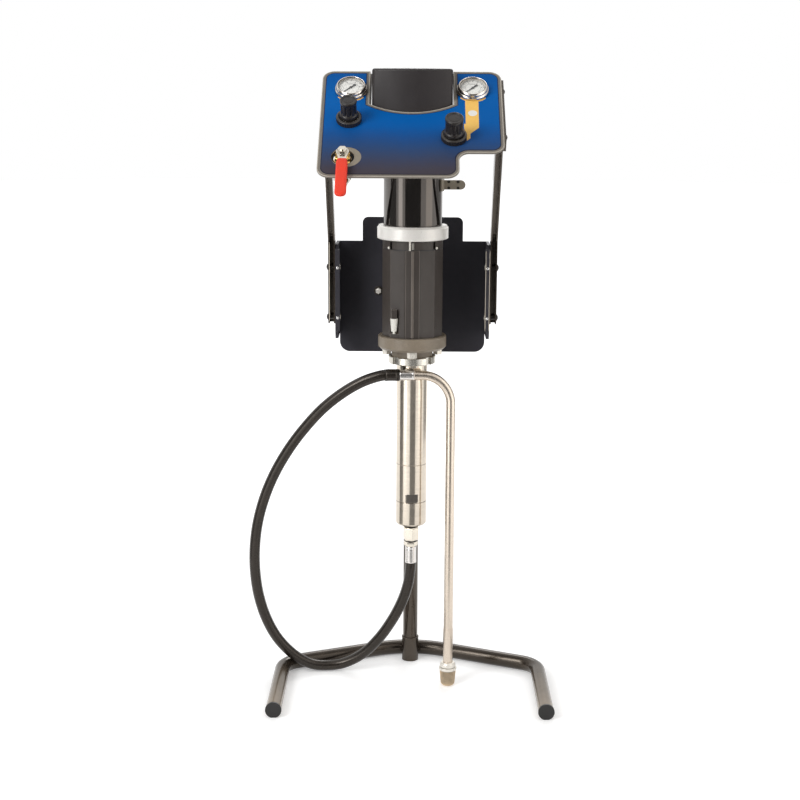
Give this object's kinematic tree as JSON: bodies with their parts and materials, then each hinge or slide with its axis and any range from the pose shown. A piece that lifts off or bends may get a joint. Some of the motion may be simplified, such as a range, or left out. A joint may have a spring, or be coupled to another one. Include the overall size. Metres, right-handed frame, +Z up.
{
  "type": "airless paint sprayer",
  "caption": "Air-driven airless paint sprayer: piston pump under an air motor on a floor stand with a sloped air-control console, a suction hose and a strainer tube.",
  "frame": {"origin": "on the floor, under the middle of the sprayer's width and depth without its suction hose", "axes": "+Z up along the pump axis, -Y to the front where the console slopes down, +X to the right seen from the front"},
  "size_m": [0.5352, 0.4556, 1.081],
  "materials": {
    "stand_paint": "satin",
    "plate_paint": "satin",
    "cast_paint": "satin",
    "shield_paint": "satin",
    "motor_paint": "satin",
    "hood_plastic": "satin",
    "panel_border": "satin",
    "overlay_blue": "satin",
    "steel": "satin",
    "silver_base": "satin",
    "zinc": "satin",
    "dark_hardware": "satin",
    "chrome": "polished",
    "brass": "satin",
    "knob_black": "gloss",
    "grip_red": "satin",
    "white_plastic": "satin",
    "dial_white": "matte",
    "pointer_black": "matte",
    "lens": "gloss",
    "hose_rubber": "satin",
    "seal_ptfe": "matte",
    "regulator_paint": "satin",
    "strainer_mesh": "matte",
    "cap_plastic": "satin"
  },
  "bodies": {
    "stand": {"base_tube_left": "stand_paint", "base_tube_right": "stand_paint", "stand_post": "stand_paint", "tube_plugs": "cap_plastic", "plate_bolts": "dark_hardware", "bracket_plate": "plate_paint", "left_arm": "stand_paint", "right_arm": "stand_paint", "arm_bolts": "dark_hardware", "saddle_block": "plate_paint", "console_frame": "plate_paint", "panel_plate": "panel_border", "panel_overlay": "overlay_blue", "gauge_cases": "chrome", "gauge_dials": "dial_white", "gauge_lenses": "lens", "left_regulator": "regulator_paint", "right_regulator": "regulator_paint", "knob_rings": "knob_black", "ball_valve_body": "brass", "valve_inlet": "brass", "air_lines": "cap_plastic", "motor_base": "silver_base", "motor_cylinder": "motor_paint", "front_shroud": "motor_paint", "motor_top_cap": "cast_paint", "air_valve_body": "cast_paint", "motor_hood": "hood_plastic", "muffler": "cap_plastic", "accessory_lug": "cast_paint", "motor_collar": "shield_paint", "tie_rods": "zinc", "shield_left": "shield_paint", "shield_right": "shield_paint", "seal_fluid_cup": "white_plastic", "outlet_housing": "cast_paint", "ring_nut": "zinc", "rod_seals": "seal_ptfe", "upper_cylinder": "steel", "middle_cylinder": "steel", "intake_housing": "steel", "inlet_fittings": "zinc", "hose_ferrules": "zinc", "suction_hose": "hose_rubber", "suction_tube": "steel", "strainer_collar": "zinc", "strainer_basket": "strainer_mesh"},
    "drive": {"motor_piston": "silver_base", "piston_rod": "chrome", "coupling_nut": "steel", "displacement_rod": "chrome", "pump_piston": "steel"},
    "piston_check": {"piston_ball": "chrome"},
    "intake_check": {"intake_ball": "chrome"},
    "spool": {"valve_spool": "steel"},
    "lever": {"valve_stem": "zinc", "lever_grip": "grip_red"},
    "left_knob_body": {"left_knob": "knob_black"},
    "right_knob_body": {"right_knob": "knob_black"},
    "left_pointer_body": {"left_pointer": "pointer_black"},
    "right_pointer_body": {"right_pointer": "pointer_black"}
  },
  "joints": [
    {"name": "pump_stroke", "type": "slide", "parent": "stand", "child": "drive", "axis": [0, 0, 1], "range_m": [0, 0.06]},
    {"name": "piston_check_lift", "type": "slide", "parent": "drive", "child": "piston_check", "axis": [0, 0, 1], "range_m": [0, 0.004]},
    {"name": "intake_check_lift", "type": "slide", "parent": "stand", "child": "intake_check", "axis": [0, 0, 1], "range_m": [0, 0.006]},
    {"name": "spool_shift", "type": "slide", "parent": "stand", "child": "spool", "axis": [1, 0, 0], "range_m": [0, 0.008]},
    {"name": "lever_turn", "type": "hinge", "parent": "stand", "child": "lever", "pos_m": [-0.109, -0.14333, 0.9529], "axis": [0, -0.6018, 0.7986], "range_deg": [0, 90]},
    {"name": "left_knob_turn", "type": "hinge", "parent": "stand", "child": "left_knob_body", "pos_m": [-0.102, -0.07291, 1.00734], "axis": [0, -0.6018, 0.7986], "range_deg": [-1350, 0]},
    {"name": "right_knob_turn", "type": "hinge", "parent": "stand", "child": "right_knob_body", "pos_m": [0.063, -0.10725, 0.98146], "axis": [0, -0.6018, 0.7986], "range_deg": [-1350, 0]},
    {"name": "left_pointer_turn", "type": "hinge", "parent": "stand", "child": "left_pointer_body", "pos_m": [-0.101, -0.00914, 1.049], "axis": [0, -0.6018, 0.7986], "range_deg": [-270, 0], "stiffness_Nm_per_rad": 0.0005},
    {"name": "right_pointer_turn", "type": "hinge", "parent": "stand", "child": "right_pointer_body", "pos_m": [0.095, -0.00914, 1.049], "axis": [0, -0.6018, 0.7986], "range_deg": [-270, 0], "stiffness_Nm_per_rad": 0.0005}
  ]
}
